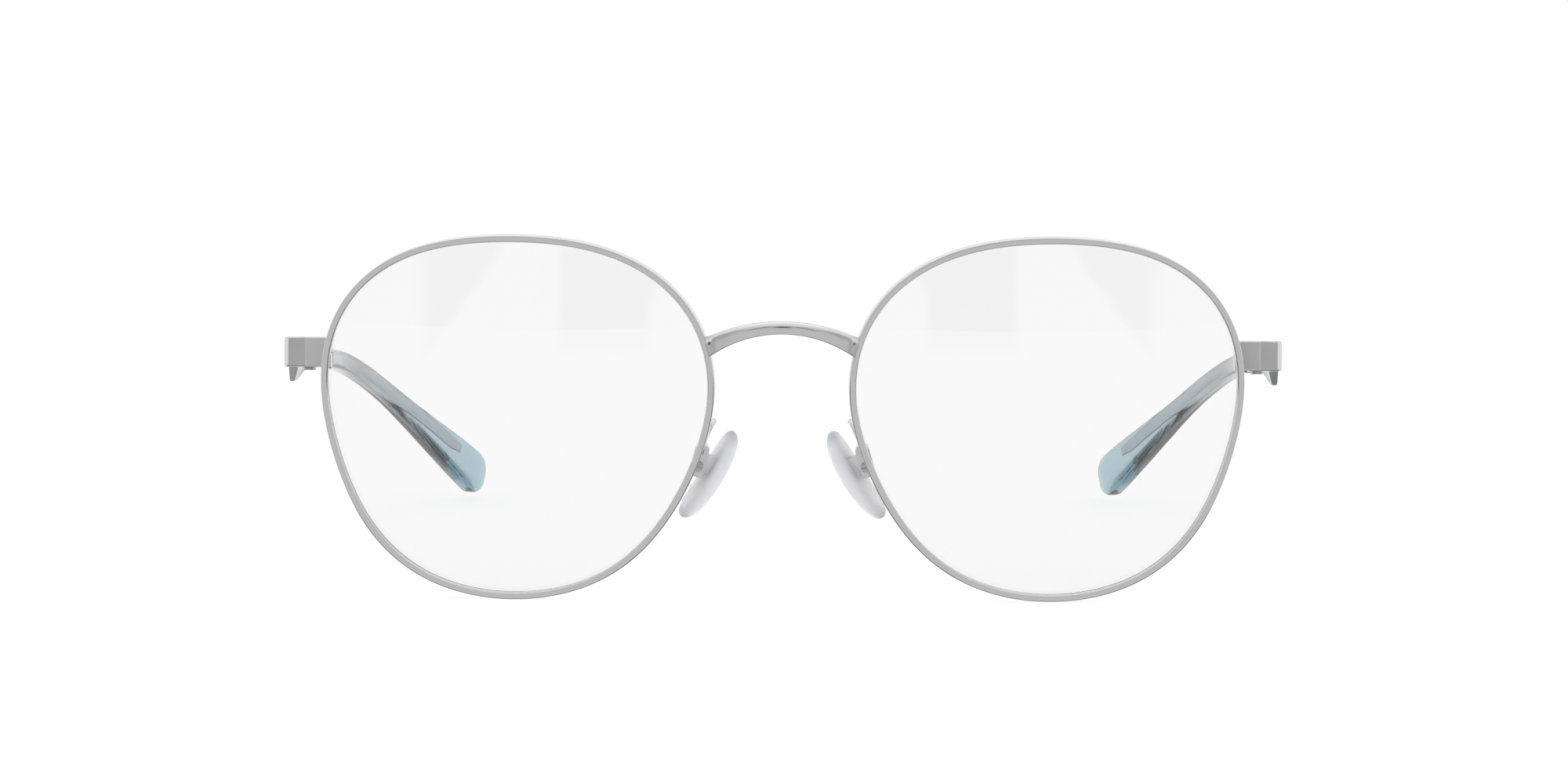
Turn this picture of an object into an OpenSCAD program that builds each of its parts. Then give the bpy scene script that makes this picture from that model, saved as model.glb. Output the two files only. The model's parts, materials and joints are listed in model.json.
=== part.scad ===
// Round metal eyeglasses, standing open on their rims and temple tips.
// Left and right are the wearer's: the wearer's left side is +X.
// +Y runs back along the temples and +Z is up.

/* [Lens outline] */
// Mean radius of the middle line of the rim
eye_radius = 25.6; // [25:0.1:26]
// How much wider than tall the outline is, as a second harmonic
oval = 0.8; // [0.6:0.05:1.1]
// Fullness of the two upper corners and the round bottom, as a third harmonic
crown = 1.02; // [0.7:0.02:1.2]
// Squareness of the outline, as a fourth harmonic
squareness = 0.37; // [0.2:0.01:0.5]
// Distance from the middle of the nose to the centre of a lens
eye_x = 36.2; // [36:0.1:36.4]
// Height of the lens centre over the horizontal middle line of the front
eye_z = 0.6; // [0.3:0.1:0.9]

/* [Rims and lenses] */
// Width of the rim wire, seen from the front
rim_w = 0.95; // [0.9:0.05:1.1]
// Depth of the rim wire, front to back
rim_d = 2; // [1.9:0.05:2.3]
// Radius of the sphere that the lenses follow
curve_r = 132; // [120:1:160]
// Thickness of a lens
lens_t = 1.4; // [1.2:0.1:1.5]
// How far each rim is turned back round the face, in degrees
wrap = 4; // [3.5:0.1:4.5]
// How far the front leans forwards at the top, in degrees
front_lean = 3; // [2.5:0.1:3.5]

/* [Bridge] */
// Height of the top of the bridge's middle line over the middle of the front
bridge_z = 12.7; // [12:0.1:13]
// Radius of the bridge's arch, seen from the front
bridge_r = 18.6; // [18:0.1:20]
// How far the middle of the bridge bows forwards
bridge_bow = 2; // [1:0.1:3]
// Thickness of the bridge at its middle
bridge_t = 1.8; // [1.5:0.1:2.2]

/* [End pieces] */
// Height of the lugs that join the rims to the hinges
lug_h = 4.1; // [4:0.05:4.3]
// Thickness of the lug's strip
lug_t = 1.5; // [1.3:0.05:1.6]
// Height of the lug's middle over the middle of the front, at the rim
lug_z = 8.4; // [8.2:0.1:8.6]

/* [Hinges] */
// Radius of the knuckles
knuckle_r = 1.1; // [1:0.05:1.2]
// Radius of the hinge screw's shank
pin_r = 0.55; // [0.5:0.01:0.57]
// Radius of the bore through the knuckles
knuckle_bore_r = 0.6; // [0.6:0.01:0.65]
// Height of each of the three knuckles
knuckle_h = 1.06; // [1:0.02:1.08]

/* [Temples] */
// Length of a temple along its middle line, from its butt end to the tip's end
temple_len = 123; // [121:1:127]
// Slope of the straight part of the temple when the glasses stand open, in degrees
temple_slope = 6; // [5.8:0.1:6.2]
// Slope of the drop behind the ear, in degrees
ear_slope = 26; // [25:0.5:27.5]
// How far the drop behind the ear turns inwards, in degrees
ear_turn = 20.5; // [18:0.5:22]
// Thickness of the temple bar
bar_t = 1.5; // [1.4:0.05:1.5]
// Length of the metal bar before the acetate tip starts
bar_len = 42; // [37:5:47]
// Height of the paddle at the end of the tip
paddle_h = 6.9; // [6.4:0.1:7.2]
// Thickness of the paddle at the end of the tip
paddle_t = 3.2; // [2.8:0.1:3.4]

/* [Nose pads] */
// Length of a nose pad
pad_len = 13.8; // [12:0.1:15]
// Width of a nose pad
pad_w = 7.4; // [6:0.1:8]
// Thickness of a nose pad
pad_t = 2; // [1.6:0.1:2.4]
// Slant of the pads, tops together, in degrees
pad_slant = 32; // [25:1:35]
// Turn of the pads towards the face, in degrees
pad_splay = 10; // [5:1:15]

/* [Hidden] */

silver = [0.75, 0.75, 0.76];
steel = [0.6, 0.6, 0.62];
clear_lens = [0.95, 0.96, 0.97, 0.3];
clear_pad = [0.92, 0.92, 0.95, 0.6];
blue_acetate = [0.42, 0.58, 0.64, 0.85];

// Shared values -------------------------------------------------------------

// The joint line of the wrap: the rims are turned back about this x
wrap_x = 9.5;
// Half the width of the rim
rim_half = rim_w / 2;
// Depth of the lens groove and the gap that the lens keeps all round it
groove = 0.45;
lens_gap = 0.05;
// The front face of the lens stands this far behind the front face of the rim
lens_set = (rim_d - lens_t) / 2;
// Steps round a rim and round a lens
rim_steps = 72;
lens_steps = 60;
// The rim is split behind the lug, at the height of the lug's middle
split_a = asin((lug_z - eye_z) / (eye_radius + rim_half));
split_gap = 0.3;
// Clearance between soldered or closely fitted neighbours
hair = 0.04;

// Positions along the row's Y: the front stands at front_y, the tips end at the far side
front_y = -62.8;

// Shape helpers -------------------------------------------------------------

// Goes smoothly from 0 at a to 1 at b
function ease(a, b, x) = let (u = min(1, max(0, (x - a) / (b - a)))) u * u * (3 - 2 * u);
function mix(a, b, u) = a + (b - a) * u;
function unit(v) = v / norm(v);

// A rounded rectangle's outline as a superellipse: w wide, h tall, n points
function soft_box(w, h, n, power) = [
    for (i = [0 : n - 1])
        let (c = cos(360 * i / n), s = sin(360 * i / n))
        [w / 2 * sign(c) * pow(abs(c), power), h / 2 * sign(s) * pow(abs(s), power)]
];

// Skins a list of rings that all have the same number of points
module skin(rings, turned = false) {
    n = len(rings[0]);
    m = len(rings);
    sides = [
        for (i = [0 : m - 2])
            for (j = [0 : n - 1])
                let (k = (j + 1) % n)
                turned ? [i * n + j, i * n + k, (i + 1) * n + k, (i + 1) * n + j]
                       : [i * n + j, (i + 1) * n + j, (i + 1) * n + k, i * n + k]
    ];
    first_cap = [for (j = [0 : n - 1]) turned ? (n - j) % n : j];
    last_cap = [for (j = [0 : n - 1]) (m - 1) * n + (turned ? j : (n - j) % n)];
    polyhedron([for (ring = rings) each ring], concat(sides, [first_cap, last_cap]));
}

// A smooth curve through hand-placed points, with steps pieces to each span
function curve_point(a, b, c, d, t) =
    0.5 * (2 * b + (c - a) * t + (2 * a - 5 * b + 4 * c - d) * t * t + (3 * b - a - 3 * c + d) * t * t * t);
function curve(p, steps) = [
    for (i = [0 : len(p) - 2])
        for (j = [0 : i == len(p) - 2 ? steps : steps - 1])
            curve_point(p[max(0, i - 1)], p[i], p[i + 1], p[min(len(p) - 1, i + 2)], j / steps)
];

// A round wire of radius r along a curve, with n sides; side_ref is never along the wire
module wire(p, r, n, side_ref) {
    skin([
        for (i = [0 : len(p) - 1])
            let (along = unit(p[min(len(p) - 1, i + 1)] - p[max(0, i - 1)]),
                 across = unit(cross(along, side_ref)),
                 over = cross(across, along))
            [for (j = [0 : n - 1]) p[i] + r * (cos(360 * j / n) * across + sin(360 * j / n) * over)]
    ], turned = true);
}

// Outline of the eye --------------------------------------------------------

// Small harmonics that make the temple side of the eye differ from the nose side
nose_cut = 0.12;
nose_lean = 0.21;
cheek = 0.07;
chin = 0.16;
function rim_r(a) = eye_radius
    + oval * cos(2 * a) - nose_cut * sin(2 * a)
    + crown * sin(3 * a) - nose_lean * cos(3 * a)
    - squareness * cos(4 * a)
    - cheek * cos(5 * a) + chin * sin(5 * a);
function rim_at(a) = [eye_x + rim_r(a) * cos(a), eye_z + rim_r(a) * sin(a)];
function rim_out(a) = let (t = rim_at(a + 1) - rim_at(a - 1)) [t[1], -t[0]] / norm(t);
function sag(r) = curve_r - sqrt(curve_r * curve_r - r * r);
function rim_back(a) = sag(rim_r(a)) - sag(eye_radius);

// A point of the eye at angle a, moved out of the outline and back from the rim's front face
function eye_point(a, out, back) =
    let (p = rim_at(a) + out * rim_out(a))
    [p[0], rim_back(a) + back, p[1]];

// The front stands on the lowest point of its rims
front_h = -min([
    for (a = [240 : 2 : 300])
        let (p = eye_point(a, rim_half, 0))
        ((p[0] - wrap_x) * sin(wrap) + p[1]) * sin(front_lean) + p[2] * cos(front_lean)
]);

// Frames of reference -------------------------------------------------------

module on_right() {
    mirror([1, 0, 0]) children();
}

// The frame of the front: x across, y back, z up the front, origin in its middle
module front_place() {
    translate([0, front_y, front_h]) rotate([front_lean, 0, 0]) children();
}

// The frame of the left eye, turned back by the wrap
module eye_place() {
    front_place() translate([wrap_x, 0, 0]) rotate([0, 0, wrap]) translate([-wrap_x, 0, 0]) children();
}

// The frame of the left hinge: z along the pin, y straight back, y = 0 where temple meets lug
// The lugs slope with the temples from their front faces, lug_y behind the rims' front faces
pin_x = 65;
pin_y = 12;
lug_y = 3.8;
pin_z = front_h + lug_z + 0.2 - (pin_y - lug_y) * tan(temple_slope);
module hinge_place() {
    translate([pin_x, front_y + pin_y, pin_z]) rotate([-temple_slope, 0, 0]) children();
}

// The same frame with x measured from the middle of the nose, for the lug and its blocks
module lug_place() {
    hinge_place() translate([-pin_x, 0, 0]) children();
}

// The frame of the left pad box: z up the box, y back along its screw
box_at = [11.3, 6.8, -6.5];
box_slant = 16;
module box_place() {
    front_place() translate(box_at) rotate([0, -box_slant, 0]) children();
}

// The frame of the left pad: z along the pad, x away from the nose
pad_at = [9.7, 8, -9.05];
module pad_place() {
    front_place() translate(pad_at) rotate([0, -pad_slant, 0]) rotate([0, 0, -pad_splay]) children();
}

// Rims and lenses -----------------------------------------------------------

// Section of the rim wire as [out, back], starting at the bottom of its V groove
rim_edge = 0.18;
groove_half = 0.5;
rim_section = [
    [-rim_half + groove, rim_d / 2],
    [-rim_half, rim_d / 2 - groove_half],
    [-rim_half, rim_edge],
    [-rim_half + rim_edge, 0],
    [rim_half - rim_edge, 0],
    [rim_half, rim_edge],
    [rim_half, rim_d - rim_edge],
    [rim_half - rim_edge, rim_d],
    [-rim_half + rim_edge, rim_d],
    [-rim_half, rim_d - rim_edge],
    [-rim_half, rim_d / 2 + groove_half]
];

module rim() {
    color(silver) eye_place() skin([
        for (i = [0 : rim_steps])
            let (a = split_a + split_gap / 2 + (360 - split_gap) * i / rim_steps)
            [for (q = rim_section) eye_point(a, q[0], q[1])]
    ]);
}

// A point of a lens face, at the fraction f of the way from the centre to the edge
function lens_point(a, f, back) =
    let (e = rim_at(a) - (rim_half + lens_gap) * rim_out(a),
         c = [eye_x, eye_z],
         p = c + f * (e - c))
    [p[0], lens_set + back + sag(norm(p - c)) - sag(eye_radius - rim_half - lens_gap), p[1]];

module lens() {
    turns = [for (i = [0 : lens_steps - 1]) 360 * i / lens_steps];
    fractions = [0.03, 0.35, 0.6, 0.82, 1];
    flat = rim_half + lens_gap;
    bevel = rim_half - groove + 2 * lens_gap;
    rise = groove_half - 2 * lens_gap;
    front = [for (f = fractions) [for (a = turns) lens_point(a, f, 0)]];
    edge = [for (q = [[flat, -rise], [bevel, 0], [flat, rise]])
        [for (a = turns) eye_point(a, -q[0], rim_d / 2 + q[1])]];
    rear = [for (i = [4 : -1 : 0]) [for (a = turns) lens_point(a, fractions[i], lens_t)]];
    color(clear_lens) eye_place() skin(concat(front, edge, rear), turned = true);
}

// Bridge --------------------------------------------------------------------

bridge_half = 10.1;
bridge_d = 1.9;
module bridge() {
    steps = 24;
    color(silver) front_place() skin([
        for (i = [0 : steps])
            let (t = 2 * i / steps - 1,
                 x = bridge_half * t,
                 z = bridge_z - bridge_r + sqrt(bridge_r * bridge_r - x * x),
                 y = rim_d / 2 - bridge_bow * (1 - t * t),
                 up = unit([x, z - bridge_z + bridge_r]),
                 h = bridge_t + 0.75 * t * t)
            [for (q = soft_box(bridge_d, h, 12, 0.8)) [x + up[0] * q[1], y + q[0], z + up[1] * q[1]]]
    ]);
}

// End pieces, closing blocks and rim screws ---------------------------------

// The lug is one bent strip: across from the rim, round the corner and back to the hinge
lug_x = 61.6;
lug_in = 66.3;
lug_out = lug_in + lug_t;
lug_front = lug_y - pin_y;
lug_plan = concat(
    [[lug_x, lug_front], [64.8, lug_front + 0.5]],
    [for (a = [-60 : 20 : 0]) [lug_in + lug_t * cos(a), -5.4 + lug_t * sin(a)]],
    [[lug_out, -hair], [lug_in, -hair], [lug_in, -4.1], [65, -5.7]],
    [[lug_x, lug_front + lug_t]]
);

// Everything inside the middle line of the rim, to keep the lug clear of the lens
module eye_core() {
    eye_place() translate([0, 10, 0]) rotate([90, 0, 0]) linear_extrude(12)
        polygon([for (i = [0 : lens_steps - 1]) rim_at(360 * i / lens_steps)]);
}

module end_piece() {
    color(silver) difference() {
        lug_place() translate([0, 0, -lug_h / 2]) linear_extrude(lug_h) polygon(lug_plan);
        eye_core();
    }
}

// The closing block's two halves meet at the rim's split; the screw pulls them together
block_screw = [64.4, -4.9];
block_h = 1.9;
block_plan = [[61.2, -5.9], [61.8, -6.55], [64.95, -5.62], [65.7, -4.7], [65.7, -3.7], [61.2, -3.7]];
block_gap = 0.1;
block_bore_r = 0.5;

module block_half(low) {
    color(silver) lug_place() difference() {
        translate([0, 0, low]) linear_extrude(block_h) polygon(block_plan);
        translate([block_screw[0], block_screw[1], low - 1]) cylinder(h = block_h + 2, r = block_bore_r, $fn = 32);
    }
}

module upper_block() {
    block_half(block_gap / 2);
}

module lower_block() {
    block_half(-block_gap / 2 - block_h);
}

rim_screw_head_h = 0.5;
module rim_screw() {
    under = -block_gap / 2 - block_h;
    shank = 2 * block_h;
    color(steel) lug_place() translate([block_screw[0], block_screw[1], under]) difference() {
        union() {
            cylinder(h = shank, r = block_bore_r - 0.05, $fn = 32);
            translate([0, 0, -rim_screw_head_h]) cylinder(h = rim_screw_head_h - 0.02, r = 0.85, $fn = 32);
            translate([0, 0, -0.05]) cylinder(h = 0.1, r = block_bore_r - 0.05, $fn = 32);
        }
        translate([-1, -0.12, -rim_screw_head_h - 0.1]) cube([2, 0.24, 0.35]);
    }
}

// Hinges --------------------------------------------------------------------

// The temple's inner face stands this far out from the pin
leaf_x = 1.3;
leaf_t = 0.8;
knuckle_gap = 0.04;
hinge_h = 3 * knuckle_h + 2 * knuckle_gap;

module knuckle(low, high, y_dir) {
    translate([0, 0, low]) cylinder(h = high - low, r = knuckle_r, $fn = 40);
    translate([0, y_dir > 0 ? 0.15 : -knuckle_r, low]) cube([leaf_x - hair, knuckle_r - 0.15, high - low]);
}

module knuckle_bore() {
    translate([0, 0, -hinge_h]) cylinder(h = 2 * hinge_h, r = knuckle_bore_r, $fn = 40);
}

module front_knuckles() {
    plate_y = 3.6;
    clear_y = knuckle_r + 0.15;
    color(silver) hinge_place() difference() {
        union() {
            knuckle(-hinge_h / 2, -hinge_h / 2 + knuckle_h, -1);
            knuckle(hinge_h / 2 - knuckle_h, hinge_h / 2, -1);
            translate([leaf_x - hair - leaf_t, -plate_y, -hinge_h / 2]) cube([leaf_t, plate_y - clear_y, hinge_h]);
            for (low = [-hinge_h / 2, hinge_h / 2 - knuckle_h])
                translate([leaf_x - hair - leaf_t, -clear_y - 0.1, low]) cube([leaf_t, 0.3, knuckle_h]);
        }
        knuckle_bore();
    }
}

module temple_knuckle() {
    plate_y = 5;
    clear_y = knuckle_r + 0.15;
    color(silver) hinge_place() difference() {
        union() {
            knuckle(-knuckle_h / 2, knuckle_h / 2, 1);
            translate([leaf_x - hair - leaf_t, clear_y, -hinge_h / 2]) cube([leaf_t, plate_y - clear_y, hinge_h]);
            translate([leaf_x - hair - leaf_t, clear_y - 0.4, -knuckle_h / 2]) cube([leaf_t, 0.5, knuckle_h]);
        }
        knuckle_bore();
    }
}

hinge_head_h = 0.5;
module hinge_screw() {
    color(steel) hinge_place() difference() {
        union() {
            translate([0, 0, -hinge_h / 2]) cylinder(h = hinge_h + 0.1, r = pin_r, $fn = 40);
            translate([0, 0, hinge_h / 2 + 0.03]) cylinder(h = hinge_head_h, r = 0.95, $fn = 40);
        }
        translate([-1.2, -0.14, hinge_h / 2 + 0.25]) cube([2.4, 0.28, hinge_head_h]);
    }
}

// Temples -------------------------------------------------------------------

// Middle line of the left temple, one point per millimetre, from slopes that ease in
temple_at = [lug_in + bar_t / 2, front_y + pin_y + 0.05, pin_z];
function temple_pitch(s) = mix(temple_slope, ear_slope, ease(53.5, 90.5, s));
function temple_yaw(s) = ear_turn * ease(50.5, 88, s);
function temple_dir(s) =
    [-sin(temple_yaw(s)) * cos(temple_pitch(s)), cos(temple_yaw(s)) * cos(temple_pitch(s)), -sin(temple_pitch(s))];
function temple_side(s) = [cos(temple_yaw(s)), sin(temple_yaw(s)), 0];
function temple_up(s) = cross(temple_side(s), temple_dir(s));
temple_line = [for (i = 0, p = temple_at; i <= temple_len; p = p + temple_dir(i + 0.5), i = i + 1) p];

// A ring of the temple at s, from outline points given as [side, up]
function temple_ring(s, outline) =
    [for (q = outline) temple_line[s] + q[0] * temple_side(s) + q[1] * temple_up(s)];

// Outline of the bar: tall at its butt end, where its lower edge is bevelled thin
bar_chamfer = 0.25;
function bar_outline(s) =
    let (w = mix(bar_t, 1.3, ease(10, bar_len, s)) / 2,
         top = mix(2.05, 1.4, ease(4, bar_len, s)),
         foot = -mix(3.9, mix(2.05, 1.4, ease(12, bar_len, s)), ease(1, 13, s)),
         bevel = mix(2.3, 0.3, ease(1, 13, s)),
         thin = mix(0.6, 0.25, ease(1, 13, s)),
         c = bar_chamfer)
    [[-w + c, top], [-w, top - c], [-w, foot + bevel], [-w + thin, foot],
     [w - c, foot], [w, foot + bevel], [w, top - c], [w - c, top]];

// Outline of the core wire inside the tip, grown all round by g
core_w = 1;
core_h = 2.1;
core_len = bar_len + 70;
function core_outline(s, g) =
    let (w = core_w / 2 + g, h = mix(core_h, 1.8, ease(bar_len, core_len, s)) / 2 + g,
         up = mix(0.2, 0.8, ease(80, core_len, s)), c = 0.2)
    [[-w + c, up + h], [-w, up + h - c], [-w, up - h + c], [-w + c, up - h],
     [w - c, up - h], [w, up - h + c], [w, up + h - c], [w - c, up + h]];

module temple() {
    bar = [for (s = [each [0 : 2 : 14], each [17 : 5 : bar_len]]) temple_ring(s, bar_outline(s))];
    core = [for (s = [bar_len : 5 : core_len]) temple_ring(s, core_outline(s, 0))];
    color(silver) skin(concat(bar, core), turned = true);
}

// Outline of the tip: a slim oval that grows into a paddle with a round end
tip_round = 4;
function tip_outline(s) =
    let (past = max(0, s - (temple_len - tip_round)) / tip_round,
         closing = sqrt(1 - 0.96 * past * past),
         h = mix(3, paddle_h, ease(82, 126, s)) * closing,
         w = mix(2.4, paddle_t, ease(66, 112, s)) * mix(1, closing, 0.6))
    soft_box(w, h, 16, 0.55);

module tip() {
    body = [each [bar_len + 1 : 5 : temple_len - tip_round - 1],
            each [temple_len - tip_round : 1 : temple_len]];
    color(blue_acetate) difference() {
        skin([for (s = body) temple_ring(s, tip_outline(s))], turned = true);
        skin([for (s = [bar_len : 5 : core_len + 5])
            temple_ring(s == core_len + 5 ? core_len + 1 : s, core_outline(s, 0.03))], turned = true);
    }
}

// Nose pads -----------------------------------------------------------------

arm_r = 0.42;
arm_back = rim_d + arm_r;
function from_eye(p) =
    [wrap_x + (p[0] - wrap_x) * cos(wrap) - p[1] * sin(wrap), (p[0] - wrap_x) * sin(wrap) + p[1] * cos(wrap), p[2]];

// The arm's foot lies along the back of the rim, then the wire loops back to the pad box
arm_route = [
    from_eye(eye_point(198, 0, arm_back)),
    from_eye(eye_point(194, 0, arm_back)),
    from_eye(eye_point(190, 0, arm_back)),
    [9.9, 3.7, -1.8],
    [9.3, 5.1, -1],
    [9.7, 6.4, -1.8],
    [10.4, 6.8, -3.2],
    [10.8, 6.8, -4.35]
];

module pad_arm() {
    color(silver) front_place() wire(curve(arm_route, 4), arm_r, 10, [1, 0.3, 0]);
}

// The box is a little channel, open towards the nose, that the pad's eye sits in
box_w = 2;
box_d = 2.7;
box_h = 4.6;
box_wall = 0.35;
screw_x = -0.1;
screw_z = -0.8;
module pad_box() {
    top_r = box_w / 2;
    color(silver) box_place() difference() {
        union() {
            translate([-box_w / 2, -box_d / 2, -box_h / 2]) cube([box_w, box_d, box_h - top_r]);
            translate([0, box_d / 2, box_h / 2 - top_r]) rotate([90, 0, 0]) cylinder(h = box_d, r = top_r, $fn = 40);
        }
        translate([-box_w / 2 - 1, -box_d / 2 + box_wall, -box_h / 2 - 1])
            cube([1 + box_w - box_wall, box_d - 2 * box_wall, box_h + 1 - box_wall - 0.3]);
        translate([screw_x, box_d, screw_z]) rotate([90, 0, 0]) cylinder(h = 2 * box_d, r = 0.5, $fn = 32);
        translate([-0.3, -box_d, 1]) cube([0.6, box_d, 0.6]);
    }
}

module pad_screw() {
    head_h = 0.35;
    color(steel) box_place() translate([screw_x, 0, screw_z]) rotate([90, 0, 0]) difference() {
        union() {
            translate([0, 0, -box_d / 2]) cylinder(h = box_d + 0.1, r = 0.45, $fn = 32);
            translate([0, 0, box_d / 2 + 0.02]) cylinder(h = head_h, r = 0.72, $fn = 32);
        }
        translate([-1, -0.1, box_d / 2 + 0.2]) cube([2, 0.2, head_h]);
    }
}

module pad_lug() {
    eye_r = 0.65;
    lug_d = box_d - 2 * box_wall - 0.1;
    color(clear_pad) difference() {
        box_place() difference() {
            union() {
                translate([screw_x, lug_d / 2, screw_z]) rotate([90, 0, 0]) cylinder(h = lug_d, r = eye_r, $fn = 32);
                translate([-2.6, -lug_d / 2, -1.7]) cube([2.6 + screw_x, lug_d, 2.6]);
            }
            translate([screw_x, box_d, screw_z]) rotate([90, 0, 0]) cylinder(h = 2 * box_d, r = 0.5, $fn = 32);
        }
        pad_place() translate([-6, -5, -9]) cube([6.2, 10, 18]);
    }
}

// The pad is a thin oval cushion, slightly arched with its ends away from the nose
pad_arch = 0.012;
function pad_ring(x, scale) =
    [for (q = soft_box(pad_w * scale, pad_len * scale, 24, 0.85)) [x + pad_arch * q[1] * q[1], q[0], q[1]]];

module nose_pad() {
    h = pad_t / 2;
    color(clear_pad) pad_place() skin([
        pad_ring(-h, 0.7),
        pad_ring(-0.75 * h, 0.88),
        pad_ring(-0.2 * h, 1),
        pad_ring(0.3 * h, 1),
        pad_ring(0.8 * h, 0.9),
        pad_ring(h, 0.76)
    ]);
}

// Nodes ---------------------------------------------------------------------

bridge();
rim();  // left_rim
lens();  // left_lens
end_piece();  // left_end_piece
upper_block();  // left_upper_block
lower_block();  // left_lower_block
rim_screw();  // left_rim_screw
front_knuckles();  // left_front_knuckles
hinge_screw();  // left_hinge_screw
temple_knuckle();  // left_temple_knuckle
temple();  // left_temple
tip();  // left_tip
pad_arm();  // left_pad_arm
pad_box();  // left_pad_box
pad_screw();  // left_pad_screw
nose_pad();  // left_nose_pad
pad_lug();  // left_pad_lug
on_right() rim();  // right_rim
on_right() lens();  // right_lens
on_right() end_piece();  // right_end_piece
on_right() upper_block();  // right_upper_block
on_right() lower_block();  // right_lower_block
on_right() rim_screw();  // right_rim_screw
on_right() front_knuckles();  // right_front_knuckles
on_right() hinge_screw();  // right_hinge_screw
on_right() temple_knuckle();  // right_temple_knuckle
on_right() temple();  // right_temple
on_right() tip();  // right_tip
on_right() pad_arm();  // right_pad_arm
on_right() pad_box();  // right_pad_box
on_right() pad_screw();  // right_pad_screw
on_right() nose_pad();  // right_nose_pad
on_right() pad_lug();  // right_pad_lug
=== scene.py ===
# %% Start
import json
import math

import bmesh
import bpy
from mathutils import Matrix, Vector


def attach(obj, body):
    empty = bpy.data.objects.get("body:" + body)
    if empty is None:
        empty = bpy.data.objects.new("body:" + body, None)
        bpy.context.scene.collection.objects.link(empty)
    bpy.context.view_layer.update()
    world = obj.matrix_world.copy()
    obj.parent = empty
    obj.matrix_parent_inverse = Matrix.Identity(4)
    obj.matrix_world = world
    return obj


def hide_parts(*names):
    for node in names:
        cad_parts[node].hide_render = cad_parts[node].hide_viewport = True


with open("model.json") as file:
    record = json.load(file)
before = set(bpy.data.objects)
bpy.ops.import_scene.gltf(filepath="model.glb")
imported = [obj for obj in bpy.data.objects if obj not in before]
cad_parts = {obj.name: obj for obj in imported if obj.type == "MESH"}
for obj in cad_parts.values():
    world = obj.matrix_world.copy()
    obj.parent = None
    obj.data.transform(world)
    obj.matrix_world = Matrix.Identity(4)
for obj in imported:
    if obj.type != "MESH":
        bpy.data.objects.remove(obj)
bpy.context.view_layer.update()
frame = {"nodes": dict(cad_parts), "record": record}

scene = bpy.context.scene

# %% [markdown]
# Round wire eyeglasses. Two rims of thin metal wire hold the lenses, a bowed bridge joins
# them, and each side has an end piece, a three-knuckle hinge, a flat metal temple and a
# tip of clear blue-grey acetate over the temple's core wire. Two clear silicone pads rock
# on little boxes at the ends of bent arms. The frame gives every place and size. This
# script makes the finely shaped pieces that the eye sees, in millimetres, and turns them
# to metres at the last moment, because small numbers near 1 are easier to read.

# %% Sizes in millimetres, the same as the part's own source
MM = 0.001
EYE_RADIUS, OVAL, CROWN, SQUARENESS = 25.6, 0.8, 1.02, 0.37
NOSE_CUT, NOSE_LEAN, CHEEK, CHIN = 0.12, 0.21, 0.07, 0.16
EYE_X, EYE_Z = 36.2, 0.6
RIM_W, RIM_D, CURVE_R, LENS_T = 0.95, 2.0, 132.0, 1.4
WRAP_X, WRAP, LEAN = 9.5, math.radians(4), math.radians(3)
FRONT_Y = -62.8
PIN_X, PIN_Y, LUG_Y = 65.0, 12.0, 3.8
LUG_IN, LUG_T, LUG_H, LUG_Z = 66.3, 1.5, 4.1, 8.4
SLOPE = math.radians(6)


def rim_r(a):
    """Radius of the rim's middle line at the angle a, seen from the lens centre."""
    return (EYE_RADIUS
            + OVAL * math.cos(2 * a) - NOSE_CUT * math.sin(2 * a)
            + CROWN * math.sin(3 * a) - NOSE_LEAN * math.cos(3 * a)
            - SQUARENESS * math.cos(4 * a)
            - CHEEK * math.cos(5 * a) + CHIN * math.sin(5 * a))


def rim_at(a):
    """The rim's middle line, as (across, up)."""
    return Vector((EYE_X + rim_r(a) * math.cos(a), EYE_Z + rim_r(a) * math.sin(a)))


def rim_out(a, hair=0.017):
    """Square to the middle line and away from the lens, from two points a hair apart."""
    along = rim_at(a + hair) - rim_at(a - hair)
    return Vector((along.y, -along.x)).normalized()


def sag(r):
    """How far the lens curve has gone back at the radius r."""
    return CURVE_R - math.sqrt(CURVE_R * CURVE_R - r * r)


def eye_point(a, out, back):
    """A point moved out of the middle line and back from the rim's front face."""
    p = rim_at(a) + out * rim_out(a)
    return Vector((p.x, sag(rim_r(a)) - sag(EYE_RADIUS) + back, p.y))


def lowest(a):
    """Height of the rim's outer edge when the front is wrapped and leaned, before it is lifted."""
    p = eye_point(a, RIM_W / 2, 0)
    return ((p.x - WRAP_X) * math.sin(WRAP) + p.y) * math.sin(LEAN) + p.z * math.cos(LEAN)


FRONT_H = -min(lowest(math.radians(a)) for a in range(240, 301, 2))
PIN_Z = FRONT_H + LUG_Z + 0.2 - (PIN_Y - LUG_Y) * math.tan(SLOPE)

# Places of the sub-assemblies, as matrices from their own frame to the shared one
front_place = Matrix.Translation((0, FRONT_Y, FRONT_H)) @ Matrix.Rotation(LEAN, 4, "X")
eye_place = (front_place @ Matrix.Translation((WRAP_X, 0, 0))
             @ Matrix.Rotation(WRAP, 4, "Z") @ Matrix.Translation((-WRAP_X, 0, 0)))
hinge_place = (Matrix.Translation((PIN_X, FRONT_Y + PIN_Y, PIN_Z))
               @ Matrix.Rotation(-SLOPE, 4, "X"))
lug_place = hinge_place @ Matrix.Translation((-PIN_X, 0, 0))
pad_place = (front_place @ Matrix.Translation((9.7, 8, -9.05))
             @ Matrix.Rotation(math.radians(-32), 4, "Y")
             @ Matrix.Rotation(math.radians(-10), 4, "Z"))
print("front stands", round(FRONT_H, 3), "mm high, hinge pin at", round(PIN_Z, 3))

# %% [markdown]
# Finishes. Every material is one Principled shader with a few nodes. The colours are
# written as the sRGB hex values that a colour picker shows, and one function turns them
# into the linear values that the renderer works in. One small function adds a node.


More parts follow.
